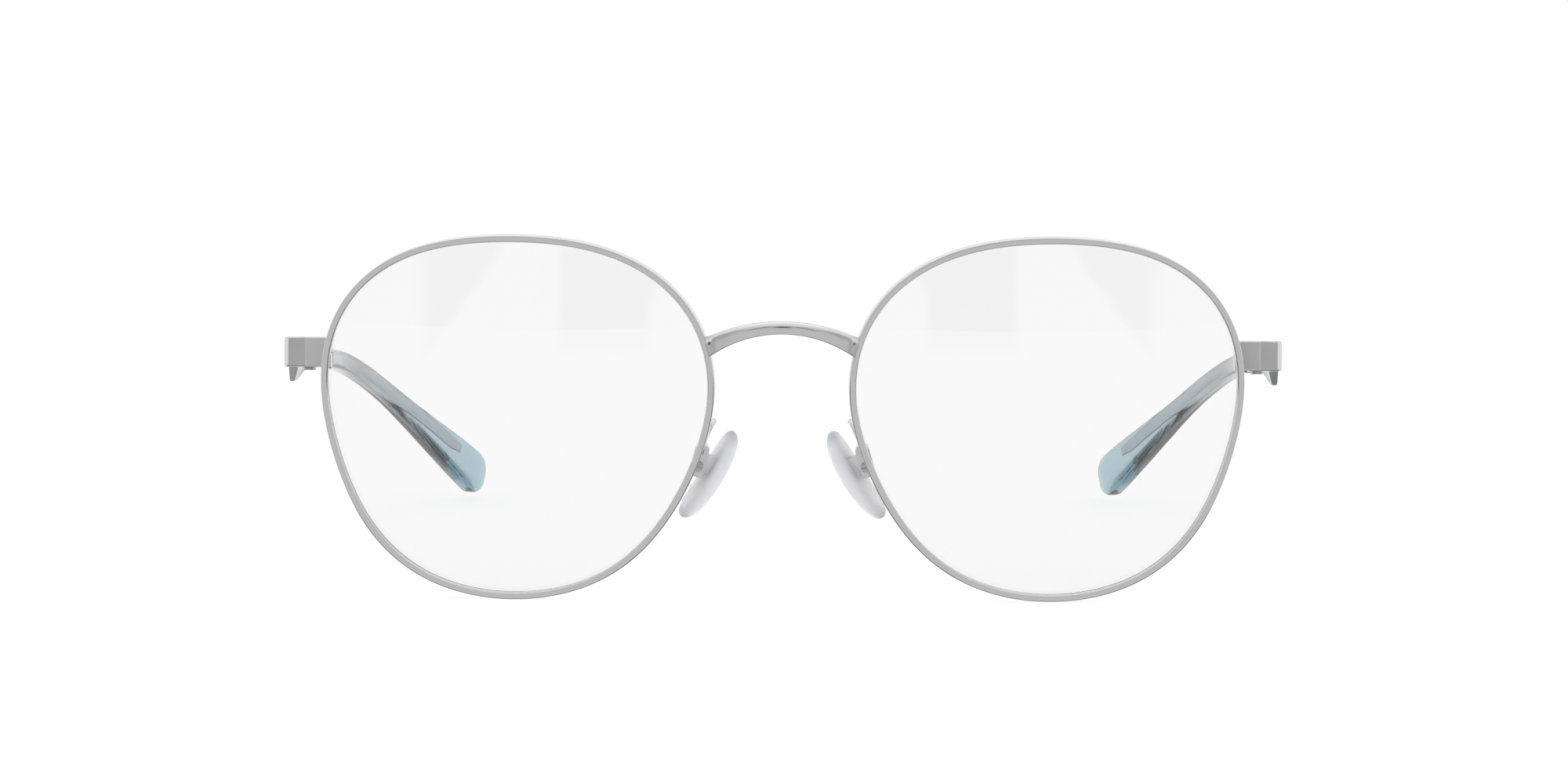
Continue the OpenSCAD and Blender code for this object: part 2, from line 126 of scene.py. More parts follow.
# %% Colour and node helpers
def linear(hex_colour, alpha=1.0):
    """An sRGB hex colour such as "#A8B0B4" as the linear values that Blender uses."""
    parts = [int(hex_colour[i:i + 2], 16) / 255 for i in (1, 3, 5)]
    return [c / 12.92 if c <= 0.04045 else ((c + 0.055) / 1.055) ** 2.4
            for c in parts] + [alpha]


def add_node(tree, kind, inputs=(), **settings):
    """Adds a node; inputs are (name or number, output socket or value), settings are named."""
    node = tree.nodes.new(kind)
    for name, value in settings.items():
        if hasattr(node, name):
            setattr(node, name, value)
        else:
            node.inputs[name.replace("_", " ")].default_value = value
    for name, value in inputs:
        if isinstance(value, bpy.types.NodeSocket):
            tree.links.new(node.inputs[name], value)
        else:
            node.inputs[name].default_value = value
    return node


def new_material(name):
    material = bpy.data.materials.new(name)
    material.use_nodes = True
    tree = material.node_tree
    shader = tree.nodes["Principled BSDF"]
    return material, tree, shader


# %% [markdown]
# The front, the end pieces and the temple bars are nickel silver, plated in palladium and
# polished on a wheel. The eye gets a bright, slightly warm grey mirror, broken by the
# very fine lines that the wheel leaves. The lines are really a few microns wide; here
# they are 0.25 mm apart, the finest that still shows.

# %% Polished plated nickel silver
plated, tree, shader = new_material("polished_plated_nickel_silver")
place = add_node(tree, "ShaderNodeTexCoord").outputs["Object"]
WHEEL_LINE = 0.25 * MM
lines = add_node(tree, "ShaderNodeTexNoise", [("Vector", place)],
                 Scale=1 / WHEEL_LINE, Detail=2.0, Roughness=0.6)
cloud = add_node(tree, "ShaderNodeTexNoise", [("Vector", place)],
                 Scale=1 / (3 * MM), Detail=3.0)
shine = add_node(tree, "ShaderNodeMapRange", [("Value", cloud.outputs["Fac"])],
                 From_Min=0.3, From_Max=0.7, To_Min=0.13, To_Max=0.22)
tone = add_node(tree, "ShaderNodeMix", [("Factor", cloud.outputs["Fac"])], data_type="RGBA")
tone.inputs["A"].default_value = linear("#D3D3D4")
tone.inputs["B"].default_value = linear("#DCDBDB")
wear = add_node(tree, "ShaderNodeBump", [("Height", lines.outputs["Fac"])],
                Strength=0.04, Distance=0.02 * MM)
tree.links.new(shader.inputs["Base Color"], tone.outputs["Result"])
tree.links.new(shader.inputs["Roughness"], shine.outputs["Result"])
tree.links.new(shader.inputs["Normal"], wear.outputs["Normal"])
shader.inputs["Metallic"].default_value = 1.0

# %% [markdown]
# The screws are turned from stainless steel bar. The lathe leaves rings, so the metal is
# a little duller than the plated parts and slightly uneven. The heads are under 2 mm
# across, so a fine grain stands for the rings.

# %% Turned stainless steel
turned, tree, shader = new_material("turned_stainless_steel")
place = add_node(tree, "ShaderNodeTexCoord").outputs["Object"]
grain = add_node(tree, "ShaderNodeTexNoise", [("Vector", place)],
                 Scale=1 / (0.15 * MM), Detail=2.0)
shine = add_node(tree, "ShaderNodeMapRange", [("Value", grain.outputs["Fac"])],
                 To_Min=0.22, To_Max=0.38)
wear = add_node(tree, "ShaderNodeBump", [("Height", grain.outputs["Fac"])],
                Strength=0.15, Distance=0.02 * MM)
tree.links.new(shader.inputs["Roughness"], shine.outputs["Result"])
tree.links.new(shader.inputs["Normal"], wear.outputs["Normal"])
shader.inputs["Base Color"].default_value = linear("#BDBDBF")
shader.inputs["Metallic"].default_value = 1.0

# %% [markdown]
# The demonstration lenses are plain polished allyl resin, as clear as glass but lighter,
# with an IOR of 1.5 and a coat against glare, so reflections are faint. Their two faces
# follow the same sphere, so they don't magnify. They take a few percent off the light
# behind them, which is how the eye finds them at all.

# %% Polished lens resin
resin, tree, shader = new_material("polished_lens_resin")
place = add_node(tree, "ShaderNodeTexCoord").outputs["Object"]
ripple = add_node(tree, "ShaderNodeTexNoise", [("Vector", place)], Scale=1 / (30 * MM), Detail=1.0)
clear = add_node(tree, "ShaderNodeMapRange", [("Value", ripple.outputs["Fac"])],
                 To_Min=0.0, To_Max=0.01)
tree.links.new(shader.inputs["Roughness"], clear.outputs["Result"])
shader.inputs["Base Color"].default_value = linear("#F5F5F5")
shader.inputs["Transmission Weight"].default_value = 1.0
shader.inputs["IOR"].default_value = 1.5
shader.inputs["Specular IOR Level"].default_value = 0.15

# %% [markdown]
# The nose pads are moulded clear silicone, a little milky, with a soft sheen instead of a
# hard gloss. The ends get a painted shade of faint lavender grey, for where the eye looks along
# the material; it runs along the pad with an attribute from 0 at the middle to 1 at an end.

# %% Moulded clear silicone
silicone, tree, shader = new_material("moulded_clear_silicone")
ends = add_node(tree, "ShaderNodeAttribute", attribute_name="towards_end").outputs["Fac"]
# Painted shade: the pad's ends are coloured a darker lavender grey for the look along the clear
# silicone
pad_end_painted_shade = add_node(tree, "ShaderNodeValToRGB", [("Fac", ends)])
pad_end_painted_shade.color_ramp.elements[0].position = 0.78
pad_end_painted_shade.color_ramp.elements[0].color = linear("#FBFBFC")
pad_end_painted_shade.color_ramp.elements[1].position = 0.96
pad_end_painted_shade.color_ramp.elements[1].color = linear("#D4D3E2")
place = add_node(tree, "ShaderNodeTexCoord").outputs["Object"]
milk = add_node(tree, "ShaderNodeTexNoise", [("Vector", place)], Scale=1 / (1.5 * MM), Detail=2.0)
sheen = add_node(tree, "ShaderNodeMapRange", [("Value", milk.outputs["Fac"])],
                 To_Min=0.25, To_Max=0.4)
tree.links.new(shader.inputs["Base Color"], pad_end_painted_shade.outputs["Color"])
tree.links.new(shader.inputs["Roughness"], sheen.outputs["Result"])
shader.inputs["Transmission Weight"].default_value = 0.4
shader.inputs["IOR"].default_value = 1.41

# %% [markdown]
# The temple tips are cellulose acetate, tumbled to a gloss. The sheet is clear with a
# blue-grey dye, so a thin edge is pale, and it is deep teal where the eye looks along the
# material. Absorption inside gives that by itself. On top of it, a painted shade deepens the
# colour towards the end, with an attribute that runs from 0 at the front to 1 at the end.

# %% Tumbled translucent acetate
acetate, tree, shader = new_material("tumbled_blue_grey_acetate")
along = add_node(tree, "ShaderNodeAttribute", attribute_name="towards_end").outputs["Fac"]
place = add_node(tree, "ShaderNodeTexCoord").outputs["Object"]
drift = add_node(tree, "ShaderNodeTexNoise", [("Vector", place)], Scale=1 / (5 * MM), Detail=2.0)
shift = add_node(tree, "ShaderNodeMath", [(0, drift.outputs["Fac"]), (1, 0.12), (2, along)],
                 operation="MULTIPLY_ADD")
# Painted shade: the base colour goes from white to blue-grey towards the thick end, on top of the
# real absorption; noise shifts it a little at random
depth = add_node(tree, "ShaderNodeValToRGB", [("Fac", shift.outputs["Value"])])
depth.color_ramp.elements[0].position = 0.1
depth.color_ramp.elements[0].color = linear("#FFFFFF")
depth.color_ramp.elements[1].position = 1.0
depth.color_ramp.elements[1].color = linear("#C9DEE6")
middle = depth.color_ramp.elements.new(0.55)
middle.color = linear("#F0F6F8")
gloss = add_node(tree, "ShaderNodeMapRange", [("Value", drift.outputs["Fac"])],
                 To_Min=0.02, To_Max=0.07)
tree.links.new(shader.inputs["Base Color"], depth.outputs["Color"])
tree.links.new(shader.inputs["Roughness"], gloss.outputs["Result"])
shader.inputs["Transmission Weight"].default_value = 1.0
shader.inputs["IOR"].default_value = 1.48
dye = add_node(tree, "ShaderNodeVolumeAbsorption", Color=linear("#9BBFC9"), Density=190.0)
tree.links.new(tree.nodes["Material Output"].inputs["Volume"], dye.outputs["Volume"])

finish_of = {"frame_metal": plated, "screws": turned, "lenses": resin,
             "nose_pads": silicone, "temple_tips": acetate}
print("finishes", [m.name for m in finish_of.values()])

# %% [markdown]
# Two helpers do most of the work. One turns a finished bmesh into an object that rides on
# its body and stands for its CAD node. The other drags a ring of edges from station to
# station, as a wire is drawn, and closes the ends.


# %% Making pieces
BODY_OF = {node: body for body, nodes in frame["record"]["behaviour"]["bodies"].items()
           for node in nodes}
SLOT_OF = {s["node"]: s["material_slot"] for s in frame["record"]["subparts"]}


def add_piece(name, bm, node, place=Matrix(), right=False, sharp=35):
    """Puts a bmesh made in millimetres in its place and names the CAD node it stands for."""
    bmesh.ops.transform(bm, matrix=Matrix.Scale(MM, 4) @ place, verts=bm.verts)
    if right:
        bmesh.ops.scale(bm, vec=(-1, 1, 1), verts=bm.verts)
    bmesh.ops.remove_doubles(bm, verts=bm.verts, dist=1e-7)
    bmesh.ops.recalc_face_normals(bm, faces=bm.faces)
    mesh = bpy.data.meshes.new(name)
    bm.to_mesh(mesh)
    bm.free()
    for face in mesh.polygons:
        face.use_smooth = True
    mesh.set_sharp_from_angle(angle=math.radians(sharp))
    mesh.materials.append(finish_of[SLOT_OF[node]])
    piece = bpy.data.objects.new(name, mesh)
    scene.collection.objects.link(piece)
    weighted = piece.modifiers.new("flat faces stay flat", "WEIGHTED_NORMAL")
    weighted.keep_sharp = True
    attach(piece, BODY_OF[node])
    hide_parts(node)
    return piece


def both_sides(name, build, place, sharp=35):
    """Builds a left piece and its mirror image on the right."""
    for side in ("left", "right"):
        node = f"{side}_{name}"
        piece = add_piece(f"shaped_{node}", build(), node, place, side == "right", sharp)
        print(piece.name, len(piece.data.polygons), "faces")


def closed_ring(bm, points):
    """Vertices at the points, and the edges that join them in a ring."""
    verts = [bm.verts.new(p) for p in points]
    edges = [bm.edges.new((verts[i - 1], verts[i])) for i in range(len(verts))]
    return verts, edges


def drawn(stations):
    """A closed bar through rings of points that all have the same number of points."""
    bm = bmesh.new()
    verts, edges = closed_ring(bm, stations[0])
    bmesh.ops.contextual_create(bm, geom=edges)
    for ring in stations[1:]:
        made = set(bmesh.ops.extrude_edge_only(bm, edges=edges)["geom"])
        moved = []
        for v, point in zip(verts, ring):
            new = next(e.other_vert(v) for e in v.link_edges if e.other_vert(v) in made)
            new.co = point
            moved.append(new)
        verts = moved
        edges = [bm.edges.get((verts[i - 1], verts[i])) for i in range(len(verts))]
    bmesh.ops.contextual_create(bm, geom=edges)
    return bm


def ease(a, b, x):
    """0 below a, 1 above b, smooth between."""
    u = min(1, max(0, (x - a) / (b - a)))
    return u * u * (3 - 2 * u)


def mix(a, b, u):
    return a + (b - a) * u


def soft_box(w, h, n, power):
    """A rounded rectangle as n points; a smaller power makes it squarer."""
    points = []
    for i in range(n):
        c, s = math.cos(2 * math.pi * i / n), math.sin(2 * math.pi * i / n)
        points.append((math.copysign(w / 2 * abs(c) ** power, c),
                       math.copysign(h / 2 * abs(s) ** power, s)))
    return points


# %% [markdown]
# A rim is a wire drawn through a die: a flat front with small chamfers, flat sides and a
# V groove inside for the lens. Bending it round a former gives the eye shape. So the
# section is drawn once, its corners are rounded, and it is spun a full turn. Then each
# ring of the spin is pushed out to the eye's own radius, which isn't a circle.


# %% Rims
def spun(profile, steps, closed, corner=0.0):
    """Spins [out, back] points a full turn about the lens centre, rounding their corners if corner
    is set.
    """
    bm = bmesh.new()
    verts = [bm.verts.new((EYE_RADIUS + out, back, 0)) for out, back in profile]
    ends = range(len(verts)) if closed else range(1, len(verts))
    edges = [bm.edges.new((verts[i - 1], verts[i])) for i in ends]
    if corner:
        bmesh.ops.bevel(bm, geom=verts, affect="VERTICES", offset=corner, segments=4,
                        profile=0.5, material=-1)
    bmesh.ops.spin(bm, geom=bm.verts[:] + bm.edges[:], cent=(0, 0, 0), axis=(0, -1, 0),
                   angle=2 * math.pi, steps=steps, use_merge=True)
    bmesh.ops.remove_doubles(bm, verts=bm.verts, dist=1e-5)
    return bm


RIM_STEPS = 240
CHAMFER, INNER_CHAMFER, RIM_CORNER = 0.13, 0.18, 0.035
GROOVE, GROOVE_HALF = 0.45, 0.5
half = RIM_W / 2
rim_profile = [
    (-half + GROOVE, RIM_D / 2), (-half, RIM_D / 2 - GROOVE_HALF),
    (-half, INNER_CHAMFER), (-half + INNER_CHAMFER, 0), (half - CHAMFER, 0), (half, CHAMFER),
    (half, RIM_D - CHAMFER), (half - CHAMFER, RIM_D), (-half + CHAMFER, RIM_D),
    (-half, RIM_D - CHAMFER), (-half, RIM_D / 2 + GROOVE_HALF)]


def rim():
    bm = spun(rim_profile, RIM_STEPS, closed=True, corner=RIM_CORNER)
    for v in bm.verts:
        r, a = math.hypot(v.co.x, v.co.z), math.atan2(v.co.z, v.co.x)
        v.co = eye_point(a, r - EYE_RADIUS, v.co.y)
    return bm


both_sides("rim", rim, eye_place, sharp=50)

# %% [markdown]
# A lens is a thin dish, cut to the rim and bevelled to fit its groove. Half of its
# section, from the middle to the edge and back, is spun round and then shaped the same
# way as the rim, so lens and groove agree. Until then the section's depth is only a mark
# that says which points are on a face and which are on the bevel.

# %% Lenses
LENS_GAP = 0.05
LENS_SET = (RIM_D - LENS_T) / 2
EDGE_SAG = sag(EYE_RADIUS - half - LENS_GAP)
FACE, BEVEL = 1.0, 0.4
lens_fractions = (0.0, 0.15, 0.3, 0.45, 0.6, 0.75, 0.88, 1.0)


def lens():
    front = [(f * EYE_RADIUS - EYE_RADIUS, -FACE) for f in lens_fractions]
    bevel = [(0.0, -BEVEL), (0.0, 0.0), (0.0, BEVEL)]
    rear = [(out, FACE) for out, _ in reversed(front)]
    bm = spun(front + bevel + rear, RIM_STEPS, closed=False)
    flat, ridge = half + LENS_GAP, half - GROOVE + 2 * LENS_GAP
    slope = GROOVE_HALF - 2 * LENS_GAP
    centre = Vector((EYE_X, EYE_Z))
    for v in bm.verts:
        r, a, mark = math.hypot(v.co.x, v.co.z), math.atan2(v.co.z, v.co.x), v.co.y
        if abs(mark) > (FACE + BEVEL) / 2:
            edge = rim_at(a) - flat * rim_out(a)
            p = centre + r / EYE_RADIUS * (edge - centre)
            back = LENS_SET + (LENS_T if mark > 0 else 0) + sag((p - centre).length) - EDGE_SAG
            v.co = Vector((p.x, back, p.y))
        elif abs(mark) > BEVEL / 2:
            v.co = eye_point(a, -flat, RIM_D / 2 + math.copysign(slope, mark))
        else:
            v.co = eye_point(a, -ridge, RIM_D / 2)
    return bm


both_sides("lens", lens, eye_place, sharp=30)

# %% [markdown]
# The bridge is cast: a bowed bar with a round top, a flat front that catches one grey
# reflection, and ends that spread where they are soldered to the rims. It is drawn
# through stations along its arch, which grow taller and go further back from the middle
# to the ends. The last stations flare, as solder does, and follow the rim's edge.

# %% Bridge
BRIDGE_Z, BRIDGE_R, BRIDGE_BOW, BRIDGE_T, BRIDGE_HALF = 12.7, 18.6, 2.0, 1.75, 10.1
BRIDGE_STEPS, BRIDGE_GROWTH = 64, 0.75
# The flare starts at this share of the half length and makes the ends this much taller
FLARE_FROM, FLARE = 0.86, 0.7
# From here outwards the bar is led to the rim, goes into it, and sinks back behind its face
LED_FROM, OVERLAP, SINK = 8.4, 0.3, 0.3
# Arcs of the section: centre back and up, radius, first and last angle, steps
BRIDGE_ARCS = ((-0.1, 0.0, 0.85, 180, 90, 14), (0.45, 0.25, 0.5, 90, 0, 6),
               (0.55, -0.5, 0.4, 0, -90, 5), (-0.77, -0.72, 0.18, -90, -180, 6))
ARCS_H = 1.76


def bridge_section(height):
    """[back, up] points: flat front, large radius over the top, small one below."""
    points = []
    for back, up, r, first, last, steps in BRIDGE_ARCS:
        for i in range(steps + 1):
            a = math.radians(mix(first, last, i / steps))
            points.append((back + r * math.cos(a), (up + r * math.sin(a)) * height / ARCS_H))
    return points


def rim_edge(z):
    """How far from the middle the rim's outer edge is, at the height z of the bridge."""
    angles = [math.radians(120 + 0.5 * i) for i in range(120)]
    return min((eye_point(a, half, 0) for a in angles), key=lambda p: abs(p.z - z)).x


def bridge():
    stations = []
    for i in range(BRIDGE_STEPS + 1):
        t = 2 * i / BRIDGE_STEPS - 1
        x = BRIDGE_HALF * t
        drop = math.sqrt(BRIDGE_R ** 2 - x * x)
        z = BRIDGE_Z - BRIDGE_R + drop
        y = RIM_D / 2 - BRIDGE_BOW * (1 - t * t)
        up = Vector((x, 0, drop)).normalized()
        flare = max(0, abs(t) - FLARE_FROM) / (1 - FLARE_FROM)
        height = BRIDGE_T + BRIDGE_GROWTH * t * t + FLARE * flare ** 2
        ring = []
        for back, rise in bridge_section(height):
            p = Vector((x, y + back, z)) + up * rise
            end = BRIDGE_HALF * (1 + rise / BRIDGE_R)
            share = (abs(p.x) - LED_FROM) / (end - LED_FROM)
            if share > 0:
                p.x = math.copysign(mix(LED_FROM, rim_edge(p.z) + OVERLAP, share), p.x)
                p.y += SINK * ease(0.4, 0.9, share)
            ring.append(p)
        stations.append(ring)
    return drawn(stations)


piece = add_piece("shaped_bridge", bridge(), "bridge", front_place, sharp=40)
print(piece.name, len(piece.data.polygons), "faces")

# %% [markdown]
# An end piece is a strip of the same metal, bent twice: it leaves the rim, turns the
# corner and runs back to the hinge. The plan is drawn flat, raised to the strip's height,
# and every edge gets the small radius that polishing leaves.


# %% End pieces
def raised(plan, low, height, radius):
    """A plan raised from low to a height, with its edges rounded."""
    bm = bmesh.new()
    verts, edges = closed_ring(bm, [(x, y, low) for x, y in plan])
    face = bmesh.ops.contextual_create(bm, geom=edges)["faces"]
    top = bmesh.ops.extrude_face_region(bm, geom=face)["geom"]
    bmesh.ops.translate(bm, vec=(0, 0, height),
                        verts=[g for g in top if isinstance(g, bmesh.types.BMVert)])
    bmesh.ops.recalc_face_normals(bm, faces=bm.faces)
    edges = [e for e in bm.edges if len(e.link_faces) == 2
             and e.calc_face_angle() > math.radians(12)]
    bmesh.ops.bevel(bm, geom=edges, affect="EDGES", offset=radius, segments=4,
                    profile=0.5, material=-1, clamp_overlap=True)
    return bm


LUG_START, LUG_MEETS, LUG_TAPER, LUG_EDGE = 61.6, 61.83, 0.17, 0.24


def lug_end_x(z):
    """Where the strip meets the rim's middle line, at the height z of the strip."""
    return LUG_MEETS - LUG_TAPER * z


def end_piece():
    front = LUG_Y - PIN_Y
    corner = [(LUG_IN + LUG_T * math.sin(a), -5.4 - LUG_T * math.cos(a))
              for a in [math.radians(30 + 6 * i) for i in range(11)]]
    plan = [(LUG_START, front), (64.8, front + 0.5)] + corner + [
        (LUG_IN + LUG_T, -0.04), (LUG_IN, -0.04), (LUG_IN, -4.1), (65.0, -5.7),
        (LUG_START, front + LUG_T)]
    bm = raised(plan, -LUG_H / 2, LUG_H, LUG_EDGE)
    for v in bm.verts:
        if v.co.x < LUG_START + 0.4:
            v.co.x += lug_end_x(v.co.z) - LUG_START
    return bm


both_sides("end_piece", end_piece, lug_place, sharp=60)

# %% [markdown]
# The small hardware, such as knuckles, closing blocks, boxes and screws, already has its
# true shape in the frame, but with edges as sharp as a drawing. A copy of each node is
# merged into one skin, its flat triangles are joined, and its edges are rounded a little,
# as a tumbling barrel does. Rounded edges catch the light, which is what makes a small
# thing look real.


# %% Small hardware with rounded edges
def softened(node, radius):
    """A copy of a CAD node in millimetres, with its edges rounded."""
    bm = bmesh.new()
    bm.from_mesh(frame["nodes"][node].data)
    bmesh.ops.scale(bm, vec=(1 / MM,) * 3, verts=bm.verts)
    bmesh.ops.remove_doubles(bm, verts=bm.verts, dist=1e-4)
    bmesh.ops.dissolve_limit(bm, angle_limit=math.radians(1), verts=bm.verts, edges=bm.edges,
                             use_dissolve_boundaries=False)
    edges = [e for e in bm.edges if len(e.link_faces) == 2
             and e.calc_face_angle() > math.radians(30)]
    bmesh.ops.bevel(bm, geom=edges, affect="EDGES", offset=radius, segments=2,
                    profile=0.5, material=-1, clamp_overlap=True)
    return bm


for side in ("left", "right"):
    for name, radius in (("upper_block", 0.08), ("lower_block", 0.08), ("rim_screw", 0.04),
                         ("front_knuckles", 0.06), ("hinge_screw", 0.04),
                         ("temple_knuckle", 0.06), ("pad_box", 0.07), ("pad_screw", 0.03),
                         ("pad_lug", 0.08)):
        node = f"{side}_{name}"
        piece = add_piece(f"shaped_{node}", softened(node, radius), node)
        print(piece.name, len(piece.data.polygons), "faces")

# %% [markdown]
# The temple follows one line from the hinge to behind the ear: straight, then dropping
# and turning in. The line is walked in half-millimetre steps, and at every step two
# directions, side and up, carry the section.

# %% The temple's line
TEMPLE_LEN, EAR_SLOPE, EAR_TURN = 123, math.radians(26), math.radians(20.5)
DROP_FROM, DROP_TO, TURN_FROM, TURN_TO = 53.5, 90.5, 50.5, 88
BAR_T, BAR_LEN = 1.5, 42
CORE_LEN = BAR_LEN + 70
STEP = 0.5
temple_start = Vector((LUG_IN + BAR_T / 2, FRONT_Y + PIN_Y + 0.05, PIN_Z))


def temple_frame(s):
    """The directions along, side and up at s millimetres from the hinge."""
    pitch = mix(SLOPE, EAR_SLOPE, ease(DROP_FROM, DROP_TO, s))
    yaw = EAR_TURN * ease(TURN_FROM, TURN_TO, s)
    along = Vector((-math.sin(yaw) * math.cos(pitch), math.cos(yaw) * math.cos(pitch),
                    -math.sin(pitch)))
    side = Vector((math.cos(yaw), math.sin(yaw), 0))
    return along, side, side.cross(along)


temple_line = [temple_start.copy()]
for i in range(int(TEMPLE_LEN / STEP)):
    temple_line.append(temple_line[-1] + STEP * temple_frame((i + 0.5) * STEP)[0])
print("tip ends at", temple_line[-1])


def temple_ring(s, outline):
    """An outline of (side, up) points, stood on the line at s."""
    i = min(int(s / STEP), len(temple_line) - 2)
    centre = temple_line[i].lerp(temple_line[i + 1], s / STEP - i)
    _, side, up = temple_frame(s)
    return [centre + q[0] * side + q[1] * up for q in outline]


# %% [markdown]
# The bar is stamped from flat strip. At the hinge it is a deep butt plate whose foot
# hangs below the end piece, bevelled thin on its inner side, and it narrows to a plain
# strip. Under the tip it goes on as a thin core wire, cut on the slant at its end.


# %% Temple bars
def rounded(corners, radius, n=3):
    """Rounds each corner of a convex outline with n + 1 points."""
    points = []
    for i, corner in enumerate(corners):
        c = Vector(corner)
        before, after = Vector(corners[i - 1]), Vector(corners[(i + 1) % len(corners)])
        reach = min(radius, (before - c).length / 2.2, (after - c).length / 2.2)
        a, b = c + (before - c).normalized() * reach, c + (after - c).normalized() * reach
        for k in range(n + 1):
            u = k / n
            points.append(a * (1 - u) ** 2 + c * 2 * u * (1 - u) + b * u * u)
    return points


def bar_outline(s):
    w = mix(BAR_T, 1.3, ease(10, BAR_LEN, s)) / 2
    top = mix(2.05, 1.4, ease(4, BAR_LEN, s))
    foot = -mix(3.9, mix(2.05, 1.4, ease(12, BAR_LEN, s)), ease(1, 13, s))
    bevel = mix(2.3, 0.3, ease(1, 13, s))
    thin = mix(0.6, 0.25, ease(1, 13, s))
    return rounded([(-w, top), (-w, foot + bevel), (-w + thin, foot), (w - 0.15, foot),
                    (w, foot + bevel), (w, top)], 0.25)


def core_outline(s):
    h = mix(2.1, 1.8, ease(BAR_LEN, CORE_LEN, s)) / 2
    up = mix(0.2, 0.8, ease(80, CORE_LEN, s))
    point = 1 - 0.55 * ease(CORE_LEN - 4, CORE_LEN, s)
    return rounded([(-0.5, up + h), (-0.5, up), (-0.5, up - h * point), (0.5, up - h * point),
                    (0.5, up), (0.5, up + h)], 0.2)


def temple():
    stations = [temple_ring(0.0, [(x * 0.93, y * 0.97) for x, y in bar_outline(0)])]
    s = 0.12
    while s < BAR_LEN:
        stations.append(temple_ring(s, bar_outline(s)))
        s += 0.75
    s = BAR_LEN
    while s <= CORE_LEN:
        stations.append(temple_ring(s, core_outline(s)))
        s += 1.0
    return drawn(stations)


both_sides("temple", temple, Matrix(), sharp=45)

# %% [markdown]
# The tip is acetate heated and pressed over the core wire, then filed and tumbled. It is
# slim where it meets the bar, and grows into a deep rounded paddle. Rings of a soft
# rectangle give both shapes. The closing rings shrink on a quarter circle, so the end is
# round. The clear body is solid, with the metal core inside it.

# %% Temple tips
PADDLE_H, PADDLE_T, TIP_ROUND = 6.9, 3.2, 4.0


def tip_outline(s):
    past = max(0, s - (TEMPLE_LEN - TIP_ROUND)) / TIP_ROUND
    closing = math.sqrt(max(0.0, 1 - 0.985 * past * past))
    start = 1 - 0.18 * max(0, (BAR_LEN + 1.6 - s) / 0.6) ** 2
    h = mix(3, PADDLE_H, ease(82, 126, s)) * closing * start
    w = mix(2.4, PADDLE_T, ease(66, 112, s)) * mix(1, closing, 0.6) * start
    return soft_box(w, h, 32, 0.55)


def tip():
    stops = [BAR_LEN + 1.0 + 0.12 * i for i in range(5)]
    stops += [BAR_LEN + 2.0 + 1.0 * i for i in range(int(TEMPLE_LEN - TIP_ROUND - BAR_LEN) - 2)]
    stops += [TEMPLE_LEN - TIP_ROUND * (1 - math.sin(math.radians(90 * i / 12)))
              for i in range(13)]
    bm = drawn([temple_ring(s, tip_outline(s)) for s in stops])
    layer = bm.verts.layers.float.new("towards_end")
    span = temple_line[-1].y - temple_line[int(BAR_LEN / STEP)].y
    for v in bm.verts:
        v[layer] = min(1.0, max(0.0, 1 - (temple_line[-1].y - v.co.y) / span))
    return bm


both_sides("tip", tip, Matrix(), sharp=60)

# %% [markdown]
# Pad arms are bent from thin round wire: the foot is soldered along the back of the rim,
# and a loop brings the end to the pad box. A circle is drawn along a smooth curve
# through a few points.

# %% Pad arms
ARM_R = 0.42


def from_eye(p):
    """A point of the wrapped eye, in the front's own frame."""
    return Vector((WRAP_X + (p.x - WRAP_X) * math.cos(WRAP) - p.y * math.sin(WRAP),
                   (p.x - WRAP_X) * math.sin(WRAP) + p.y * math.cos(WRAP), p.z))


arm_route = [from_eye(eye_point(math.radians(a), 0, RIM_D + ARM_R)) for a in (198, 194, 190)]
arm_route += [Vector(p) for p in ((9.9, 3.7, -1.8), (9.3, 5.1, -1.0), (9.7, 6.4, -1.8),
                                  (10.4, 6.8, -3.2), (10.8, 6.8, -4.35))]


def smooth_curve(p, steps):
    """A smooth line through the points p, with some steps between each two."""
    points = []
    for i in range(len(p) - 1):
        a, b, c, d = p[max(0, i - 1)], p[i], p[i + 1], p[min(len(p) - 1, i + 2)]
        for j in range(steps + (i == len(p) - 2)):
            t = j / steps
            points.append(0.5 * (2 * b + (c - a) * t + (2 * a - 5 * b + 4 * c - d) * t * t
                                 + (3 * b - a - 3 * c + d) * t ** 3))
    return points


def pad_arm():
    line = smooth_curve(arm_route, 8)
    stations = []
    for i, p in enumerate(line):
        along = (line[min(len(line) - 1, i + 1)] - line[max(0, i - 1)]).normalized()
        across = along.cross(Vector((1, 0.3, 0))).normalized()
        over = across.cross(along)
        stations.append([p + ARM_R * (math.cos(k * math.pi / 8) * across
                                      + math.sin(k * math.pi / 8) * over) for k in range(16)])
    return drawn(stations)


both_sides("pad_arm", pad_arm, front_place, sharp=50)

# %% [markdown]
# A nose pad is a thin oval cushion of silicone, a little arched so that its ends bend
# away from the nose. Rings of a soft oval are stacked through its thickness, with the
# rim of the pad as a half circle.

# %% Nose pads
PAD_LEN, PAD_W, PAD_T, PAD_ARCH = 13.8, 7.4, 2.0, 0.012
PAD_STEPS, PAD_TURN, PAD_FLAT = 14, 78, 0.72


def nose_pad():
    stations = []
    for i in range(PAD_STEPS + 1):
        a = math.radians(mix(-PAD_TURN, PAD_TURN, i / PAD_STEPS))
        x = PAD_T / 2 * math.sin(a) / math.sin(math.radians(PAD_TURN))
        scale = mix(PAD_FLAT, 1, math.cos(a))
        stations.append([Vector((x + PAD_ARCH * q[1] ** 2, q[0], q[1]))
                         for q in soft_box(PAD_W * scale, PAD_LEN * scale, 56, 0.85)])
    bm = drawn(stations)
    for cap in [f for f in bm.faces if len(f.verts) > 4]:
        bmesh.ops.inset_region(bm, faces=[cap], thickness=0.9)
    layer = bm.verts.layers.float.new("towards_end")
    for v in bm.verts:
        v[layer] = abs(v.co.z) / (PAD_LEN / 2)
    return bm


both_sides("nose_pad", nose_pad, pad_place, sharp=70)

